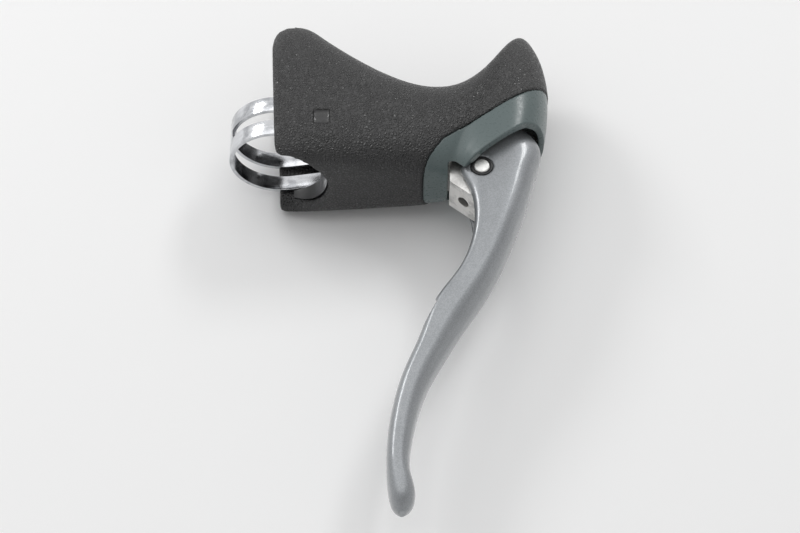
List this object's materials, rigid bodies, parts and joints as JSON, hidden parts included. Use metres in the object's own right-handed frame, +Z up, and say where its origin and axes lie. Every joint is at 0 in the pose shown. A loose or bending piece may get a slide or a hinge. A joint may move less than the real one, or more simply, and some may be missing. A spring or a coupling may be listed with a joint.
{
  "type": "bicycle brake lever",
  "caption": "Drop-bar brake lever with a grained rubber hood, plastic collar, curved pull blade on a sprung pivot, swivelling cable anchor and a slotted strap clamp for the bar.",
  "frame": {"origin": "on the handlebar's axis, at the middle of the clamp band's width", "axes": "+Z up along the bar, +X forward to the hood's nose, Y along the lever's pivot"},
  "size_m": [0.0823, 0.0318, 0.1363],
  "materials": {
    "grained_rubber": "matte, fine leather grain",
    "collar_plastic": "satin",
    "lever_paint": "gloss metallic paint with fine flake",
    "chrome_strap": "polished",
    "bare_aluminium": "satin, as cast and machined",
    "pin_aluminium": "satin",
    "zinc_steel": "zinc plated",
    "dark_steel": "blackened",
    "spring_steel": "drawn wire",
    "bush_plastic": "smooth"
  },
  "bodies": {
    "bracket": {"bracket_body": "bare_aluminium", "rubber_hood": "grained_rubber", "front_collar": "collar_plastic", "collar_screw": "zinc_steel", "clamp_band": "chrome_strap", "clamp_nut": "zinc_steel", "clamp_bolt": "zinc_steel", "bolt_washer": "zinc_steel", "pivot_pin": "pin_aluminium", "pivot_grub_screw": "dark_steel", "return_spring": "spring_steel"},
    "lever": {"lever_blade": "lever_paint", "pivot_bush_near": "bush_plastic", "pivot_bush_far": "bush_plastic"},
    "anchor": {"cable_anchor": "zinc_steel"}
  },
  "joints": [
    {"name": "lever_pull", "type": "hinge", "parent": "bracket", "child": "lever", "pos_m": [0.0512, 0, -0.012], "axis": [0, 1, 0], "range_deg": [0, 26], "stiffness_Nm_per_rad": 0.2, "springref_deg": -28.65, "deforming": ["return_spring"]},
    {"name": "anchor_swivel", "type": "hinge", "parent": "lever", "child": "anchor", "pos_m": [0.05268, 0, 0.00494], "axis": [0, 1, 0], "range_deg": [-40, 40]}
  ]
}
